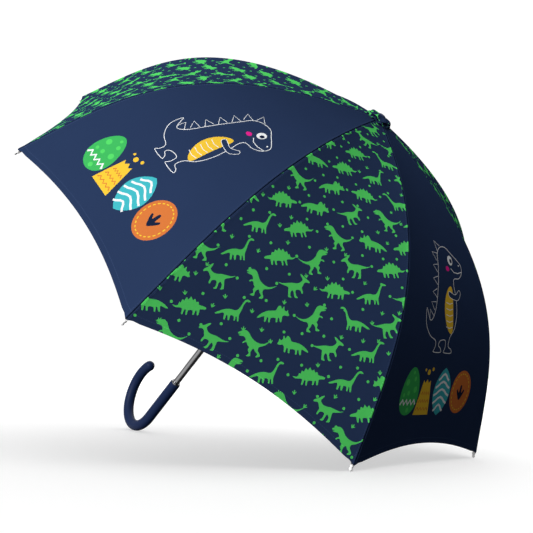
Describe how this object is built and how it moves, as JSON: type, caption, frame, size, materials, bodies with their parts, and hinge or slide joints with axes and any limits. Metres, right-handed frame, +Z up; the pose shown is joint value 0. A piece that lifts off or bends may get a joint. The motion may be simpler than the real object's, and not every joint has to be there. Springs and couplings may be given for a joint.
{
  "type": "children's umbrella",
  "caption": "Open children's stick umbrella with a domed panelled canopy, steel ribs and stretchers, a sliding runner and a hooked plastic handle.",
  "frame": {"origin": "middle of the footprint, on the floor it lies on", "axes": "+Z up, +X the way the crown leans, +Y level across the canopy"},
  "size_m": [0.5626, 0.6686, 0.507],
  "materials": {
    "canopy_navy": "plain navy pongee cloth",
    "canopy_print": "navy pongee cloth with a green print",
    "handle": "smooth navy plastic, satin",
    "steel": "bright zinc-plated steel",
    "dark_plastic": "black moulded plastic",
    "tip_plastic": "white moulded plastic"
  },
  "bodies": {
    "shaft": {"shaft_tube": "steel", "crown_notch": "dark_plastic", "crown_wire": "steel", "crown_rosette": "canopy_print", "crown_cap": "dark_plastic", "handle": "handle", "handle_ferrule": "steel"},
    "rib_1_inner": {"rib_1_inner": "steel"},
    "rib_1_outer": {"rib_1_outer": "steel", "rib_tip_1": "tip_plastic"},
    "stretcher_1": {"stretcher_1": "steel"},
    "panel_1_upper": {"panel_1_upper": "canopy_navy"},
    "panel_1_lower": {"panel_1_lower": "canopy_navy"},
    "rib_2_inner": {"rib_2_inner": "steel"},
    "rib_2_outer": {"rib_2_outer": "steel", "rib_tip_2": "tip_plastic"},
    "stretcher_2": {"stretcher_2": "steel"},
    "panel_2_upper": {"panel_2_upper": "canopy_print"},
    "panel_2_lower": {"panel_2_lower": "canopy_print"},
    "rib_3_inner": {"rib_3_inner": "steel"},
    "rib_3_outer": {"rib_3_outer": "steel", "rib_tip_3": "tip_plastic"},
    "stretcher_3": {"stretcher_3": "steel"},
    "panel_3_upper": {"panel_3_upper": "canopy_navy"},
    "panel_3_lower": {"panel_3_lower": "canopy_navy"},
    "rib_4_inner": {"rib_4_inner": "steel"},
    "rib_4_outer": {"rib_4_outer": "steel", "rib_tip_4": "tip_plastic"},
    "stretcher_4": {"stretcher_4": "steel"},
    "panel_4_upper": {"panel_4_upper": "canopy_print"},
    "panel_4_lower": {"panel_4_lower": "canopy_print"},
    "rib_5_inner": {"rib_5_inner": "steel"},
    "rib_5_outer": {"rib_5_outer": "steel", "rib_tip_5": "tip_plastic"},
    "stretcher_5": {"stretcher_5": "steel"},
    "panel_5_upper": {"panel_5_upper": "canopy_navy"},
    "panel_5_lower": {"panel_5_lower": "canopy_navy", "tie_strap": "canopy_navy"},
    "rib_6_inner": {"rib_6_inner": "steel"},
    "rib_6_outer": {"rib_6_outer": "steel", "rib_tip_6": "tip_plastic"},
    "stretcher_6": {"stretcher_6": "steel"},
    "panel_6_upper": {"panel_6_upper": "canopy_print"},
    "panel_6_lower": {"panel_6_lower": "canopy_print"},
    "rib_7_inner": {"rib_7_inner": "steel"},
    "rib_7_outer": {"rib_7_outer": "steel", "rib_tip_7": "tip_plastic"},
    "stretcher_7": {"stretcher_7": "steel"},
    "panel_7_upper": {"panel_7_upper": "canopy_navy"},
    "panel_7_lower": {"panel_7_lower": "canopy_navy"},
    "rib_8_inner": {"rib_8_inner": "steel"},
    "rib_8_outer": {"rib_8_outer": "steel", "rib_tip_8": "tip_plastic"},
    "stretcher_8": {"stretcher_8": "steel"},
    "panel_8_upper": {"panel_8_upper": "canopy_print"},
    "panel_8_lower": {"panel_8_lower": "canopy_print"},
    "runner": {"runner": "dark_plastic", "runner_wire": "steel"},
    "upper_catch": {"upper_catch": "steel"},
    "lower_catch": {"lower_catch": "steel"}
  },
  "joints": [
    {"name": "canopy_fold", "type": "hinge", "parent": "shaft", "child": "rib_1_inner", "pos_m": [0.18108, -0.00314, 0.40152], "axis": [0.2745, 0.9239, -0.2667], "range_deg": [0, 70.48]},
    {"name": "rib_1_flex", "type": "hinge", "parent": "rib_1_inner", "child": "rib_1_outer", "pos_m": [0.26843, -0.07588, 0.23941], "axis": [0.2745, 0.9239, -0.2667], "range_deg": [-33.35, 0]},
    {"name": "stretcher_1_hinge", "type": "hinge", "parent": "rib_1_inner", "child": "stretcher_1", "pos_m": [0.26424, -0.07504, 0.23799], "axis": [0.2745, 0.9239, -0.2667], "range_deg": [-140.96, 0]},
    {"name": "panel_1_fold", "type": "hinge", "parent": "shaft", "child": "panel_1_upper", "pos_m": [0.18108, 0, 0.40152], "axis": [0, 1, 0], "range_deg": [0, 69.15], "deforming": ["panel_1_upper"]},
    {"name": "panel_1_flex", "type": "hinge", "parent": "panel_1_upper", "child": "panel_1_lower", "pos_m": [0.27122, 0, 0.24036], "axis": [0, 1, 0], "range_deg": [-33.97, 0], "deforming": ["panel_1_lower"]},
    {"name": "rib_2_fold", "type": "hinge", "parent": "shaft", "child": "rib_2_inner", "pos_m": [0.18108, 0.00314, 0.40152], "axis": [-0.2745, 0.9239, 0.2667], "range_deg": [0, 70.48]},
    {"name": "rib_2_flex", "type": "hinge", "parent": "rib_2_inner", "child": "rib_2_outer", "pos_m": [0.26843, 0.07588, 0.23941], "axis": [-0.2745, 0.9239, 0.2667], "range_deg": [-33.35, 0]},
    {"name": "stretcher_2_hinge", "type": "hinge", "parent": "rib_2_inner", "child": "stretcher_2", "pos_m": [0.26424, 0.07504, 0.23799], "axis": [-0.2745, 0.9239, 0.2667], "range_deg": [-140.96, 0]},
    {"name": "panel_2_fold", "type": "hinge", "parent": "shaft", "child": "panel_2_upper", "pos_m": [0.17949, 0.00536, 0.40306], "axis": [-0.5071, 0.7071, 0.4928], "range_deg": [0, 69.15], "deforming": ["panel_2_upper"]},
    {"name": "panel_2_flex", "type": "hinge", "parent": "panel_2_upper", "child": "panel_2_lower", "pos_m": [0.23246, 0.13048, 0.27803], "axis": [-0.5071, 0.7071, 0.4928], "range_deg": [-33.97, 0], "deforming": ["panel_2_lower"]},
    {"name": "rib_3_fold", "type": "hinge", "parent": "shaft", "child": "rib_3_inner", "pos_m": [0.1779, 0.00758, 0.40461], "axis": [-0.6626, 0.3827, 0.6438], "range_deg": [0, 70.48]},
    {"name": "rib_3_flex", "type": "hinge", "parent": "rib_3_inner", "child": "rib_3_outer", "pos_m": [0.19147, 0.18319, 0.3142], "axis": [-0.6626, 0.3827, 0.6438], "range_deg": [-33.35, 0]},
    {"name": "stretcher_3_hinge", "type": "hinge", "parent": "rib_3_inner", "child": "stretcher_3", "pos_m": [0.18813, 0.18117, 0.31195], "axis": [-0.6626, 0.3827, 0.6438], "range_deg": [-140.96, 0]},
    {"name": "panel_3_fold", "type": "hinge", "parent": "shaft", "child": "panel_3_upper", "pos_m": [0.17565, 0.00758, 0.4068], "axis": [-0.7172, 0, 0.6969], "range_deg": [0, 69.15], "deforming": ["panel_3_upper"]},
    {"name": "panel_3_flex", "type": "hinge", "parent": "panel_3_upper", "child": "panel_3_lower", "pos_m": [0.13888, 0.18453, 0.36895], "axis": [-0.7172, 0, 0.6969], "range_deg": [-33.97, 0], "deforming": ["panel_3_lower"]},
    {"name": "rib_4_fold", "type": "hinge", "parent": "shaft", "child": "rib_4_inner", "pos_m": [0.1734, 0.00758, 0.40898], "axis": [-0.6626, -0.3827, 0.6438], "range_deg": [0, 70.48]},
    {"name": "rib_4_flex", "type": "hinge", "parent": "rib_4_inner", "child": "rib_4_outer", "pos_m": [0.08263, 0.18319, 0.41995], "axis": [-0.6626, -0.3827, 0.6438], "range_deg": [-33.35, 0]},
    {"name": "stretcher_4_hinge", "type": "hinge", "parent": "rib_4_inner", "child": "stretcher_4", "pos_m": [0.08049, 0.18117, 0.41655], "axis": [-0.6626, -0.3827, 0.6438], "range_deg": [-140.96, 0]},
    {"name": "panel_4_fold", "type": "hinge", "parent": "shaft", "child": "panel_4_upper", "pos_m": [0.17181, 0.00536, 0.41053], "axis": [-0.5071, -0.7071, 0.4928], "range_deg": [0, 69.15], "deforming": ["panel_4_upper"]},
    {"name": "panel_4_flex", "type": "hinge", "parent": "panel_4_upper", "child": "panel_4_lower", "pos_m": [0.0453, 0.13048, 0.45988], "axis": [-0.5071, -0.7071, 0.4928], "range_deg": [-33.97, 0], "deforming": ["panel_4_lower"]},
    {"name": "rib_5_fold", "type": "hinge", "parent": "shaft", "child": "rib_5_inner", "pos_m": [0.17022, 0.00314, 0.41208], "axis": [-0.2745, -0.9239, 0.2667], "range_deg": [0, 70.48]},
    {"name": "rib_5_flex", "type": "hinge", "parent": "rib_5_inner", "child": "rib_5_outer", "pos_m": [0.00567, 0.07588, 0.49473], "axis": [-0.2745, -0.9239, 0.2667], "range_deg": [-33.35, 0]},
    {"name": "stretcher_5_hinge", "type": "hinge", "parent": "rib_5_inner", "child": "stretcher_5", "pos_m": [0.00437, 0.07504, 0.49051], "axis": [-0.2745, -0.9239, 0.2667], "range_deg": [-140.96, 0]},
    {"name": "panel_5_fold", "type": "hinge", "parent": "shaft", "child": "panel_5_upper", "pos_m": [0.17022, 0, 0.41208], "axis": [0, -1, 0], "range_deg": [0, 69.15], "deforming": ["panel_5_upper"]},
    {"name": "panel_5_flex", "type": "hinge", "parent": "panel_5_upper", "child": "panel_5_lower", "pos_m": [0.00654, 0, 0.49755], "axis": [0, -1, 0], "range_deg": [-33.97, 0], "deforming": ["panel_5_lower"]},
    {"name": "rib_6_fold", "type": "hinge", "parent": "shaft", "child": "rib_6_inner", "pos_m": [0.17022, -0.00314, 0.41208], "axis": [0.2745, -0.9239, -0.2667], "range_deg": [0, 70.48]},
    {"name": "rib_6_flex", "type": "hinge", "parent": "rib_6_inner", "child": "rib_6_outer", "pos_m": [0.00567, -0.07588, 0.49473], "axis": [0.2745, -0.9239, -0.2667], "range_deg": [-33.35, 0]},
    {"name": "stretcher_6_hinge", "type": "hinge", "parent": "rib_6_inner", "child": "stretcher_6", "pos_m": [0.00437, -0.07504, 0.49051], "axis": [0.2745, -0.9239, -0.2667], "range_deg": [-140.96, 0]},
    {"name": "panel_6_fold", "type": "hinge", "parent": "shaft", "child": "panel_6_upper", "pos_m": [0.17181, -0.00536, 0.41053], "axis": [0.5071, -0.7071, -0.4928], "range_deg": [0, 69.15], "deforming": ["panel_6_upper"]},
    {"name": "panel_6_flex", "type": "hinge", "parent": "panel_6_upper", "child": "panel_6_lower", "pos_m": [0.0453, -0.13048, 0.45988], "axis": [0.5071, -0.7071, -0.4928], "range_deg": [-33.97, 0], "deforming": ["panel_6_lower"]},
    {"name": "rib_7_fold", "type": "hinge", "parent": "shaft", "child": "rib_7_inner", "pos_m": [0.1734, -0.00758, 0.40898], "axis": [0.6626, -0.3827, -0.6438], "range_deg": [0, 70.48]},
    {"name": "rib_7_flex", "type": "hinge", "parent": "rib_7_inner", "child": "rib_7_outer", "pos_m": [0.08263, -0.18319, 0.41995], "axis": [0.6626, -0.3827, -0.6438], "range_deg": [-33.35, 0]},
    {"name": "stretcher_7_hinge", "type": "hinge", "parent": "rib_7_inner", "child": "stretcher_7", "pos_m": [0.08049, -0.18117, 0.41655], "axis": [0.6626, -0.3827, -0.6438], "range_deg": [-140.96, 0]},
    {"name": "panel_7_fold", "type": "hinge", "parent": "shaft", "child": "panel_7_upper", "pos_m": [0.17565, -0.00758, 0.4068], "axis": [0.7172, 0, -0.6969], "range_deg": [0, 69.15], "deforming": ["panel_7_upper"]},
    {"name": "panel_7_flex", "type": "hinge", "parent": "panel_7_upper", "child": "panel_7_lower", "pos_m": [0.13888, -0.18453, 0.36895], "axis": [0.7172, 0, -0.6969], "range_deg": [-33.97, 0], "deforming": ["panel_7_lower"]},
    {"name": "rib_8_fold", "type": "hinge", "parent": "shaft", "child": "rib_8_inner", "pos_m": [0.1779, -0.00758, 0.40461], "axis": [0.6626, 0.3827, -0.6438], "range_deg": [0, 70.48]},
    {"name": "rib_8_flex", "type": "hinge", "parent": "rib_8_inner", "child": "rib_8_outer", "pos_m": [0.19147, -0.18319, 0.3142], "axis": [0.6626, 0.3827, -0.6438], "range_deg": [-33.35, 0]},
    {"name": "stretcher_8_hinge", "type": "hinge", "parent": "rib_8_inner", "child": "stretcher_8", "pos_m": [0.18813, -0.18117, 0.31195], "axis": [0.6626, 0.3827, -0.6438], "range_deg": [-140.96, 0]},
    {"name": "panel_8_fold", "type": "hinge", "parent": "shaft", "child": "panel_8_upper", "pos_m": [0.17949, -0.00536, 0.40306], "axis": [0.5071, 0.7071, -0.4928], "range_deg": [0, 69.15], "deforming": ["panel_8_upper"]},
    {"name": "panel_8_flex", "type": "hinge", "parent": "panel_8_upper", "child": "panel_8_lower", "pos_m": [0.23246, -0.13048, 0.27803], "axis": [0.5071, 0.7071, -0.4928], "range_deg": [-33.97, 0], "deforming": ["panel_8_lower"]},
    {"name": "runner_travel", "type": "hinge", "parent": "stretcher_1", "child": "runner", "pos_m": [0.0984, -0.00314, 0.31642], "axis": [0.2745, 0.9239, -0.2667], "range_deg": [0, 70.48]},
    {"name": "upper_catch_press", "type": "hinge", "parent": "shaft", "child": "upper_catch", "pos_m": [0.05098, 0, 0.27563], "axis": [0, -1, 0], "range_deg": [0, 6.5], "stiffness_Nm_per_rad": 0.2},
    {"name": "lower_catch_press", "type": "hinge", "parent": "shaft", "child": "lower_catch", "pos_m": [-0.08086, 0, 0.13994], "axis": [0, 1, 0], "range_deg": [0, 6.5], "stiffness_Nm_per_rad": 0.2}
  ],
  "couplings": [
    {"joint": "rib_1_flex", "follows": "canopy_fold", "ratio": -0.47321},
    {"joint": "stretcher_1_hinge", "follows": "canopy_fold", "ratio": -2},
    {"joint": "panel_1_fold", "follows": "canopy_fold", "ratio": 0.9811},
    {"joint": "panel_1_flex", "follows": "canopy_fold", "ratio": -0.48193},
    {"joint": "rib_2_fold", "follows": "canopy_fold", "ratio": 1},
    {"joint": "rib_2_flex", "follows": "canopy_fold", "ratio": -0.47321},
    {"joint": "stretcher_2_hinge", "follows": "canopy_fold", "ratio": -2},
    {"joint": "panel_2_fold", "follows": "canopy_fold", "ratio": 0.9811},
    {"joint": "panel_2_flex", "follows": "canopy_fold", "ratio": -0.48193},
    {"joint": "rib_3_fold", "follows": "canopy_fold", "ratio": 1},
    {"joint": "rib_3_flex", "follows": "canopy_fold", "ratio": -0.47321},
    {"joint": "stretcher_3_hinge", "follows": "canopy_fold", "ratio": -2},
    {"joint": "panel_3_fold", "follows": "canopy_fold", "ratio": 0.9811},
    {"joint": "panel_3_flex", "follows": "canopy_fold", "ratio": -0.48193},
    {"joint": "rib_4_fold", "follows": "canopy_fold", "ratio": 1},
    {"joint": "rib_4_flex", "follows": "canopy_fold", "ratio": -0.47321},
    {"joint": "stretcher_4_hinge", "follows": "canopy_fold", "ratio": -2},
    {"joint": "panel_4_fold", "follows": "canopy_fold", "ratio": 0.9811},
    {"joint": "panel_4_flex", "follows": "canopy_fold", "ratio": -0.48193},
    {"joint": "rib_5_fold", "follows": "canopy_fold", "ratio": 1},
    {"joint": "rib_5_flex", "follows": "canopy_fold", "ratio": -0.47321},
    {"joint": "stretcher_5_hinge", "follows": "canopy_fold", "ratio": -2},
    {"joint": "panel_5_fold", "follows": "canopy_fold", "ratio": 0.9811},
    {"joint": "panel_5_flex", "follows": "canopy_fold", "ratio": -0.48193},
    {"joint": "rib_6_fold", "follows": "canopy_fold", "ratio": 1},
    {"joint": "rib_6_flex", "follows": "canopy_fold", "ratio": -0.47321},
    {"joint": "stretcher_6_hinge", "follows": "canopy_fold", "ratio": -2},
    {"joint": "panel_6_fold", "follows": "canopy_fold", "ratio": 0.9811},
    {"joint": "panel_6_flex", "follows": "canopy_fold", "ratio": -0.48193},
    {"joint": "rib_7_fold", "follows": "canopy_fold", "ratio": 1},
    {"joint": "rib_7_flex", "follows": "canopy_fold", "ratio": -0.47321},
    {"joint": "stretcher_7_hinge", "follows": "canopy_fold", "ratio": -2},
    {"joint": "panel_7_fold", "follows": "canopy_fold", "ratio": 0.9811},
    {"joint": "panel_7_flex", "follows": "canopy_fold", "ratio": -0.48193},
    {"joint": "rib_8_fold", "follows": "canopy_fold", "ratio": 1},
    {"joint": "rib_8_flex", "follows": "canopy_fold", "ratio": -0.47321},
    {"joint": "stretcher_8_hinge", "follows": "canopy_fold", "ratio": -2},
    {"joint": "panel_8_fold", "follows": "canopy_fold", "ratio": 0.9811},
    {"joint": "panel_8_flex", "follows": "canopy_fold", "ratio": -0.48193},
    {"joint": "runner_travel", "follows": "canopy_fold", "ratio": 1}
  ]
}
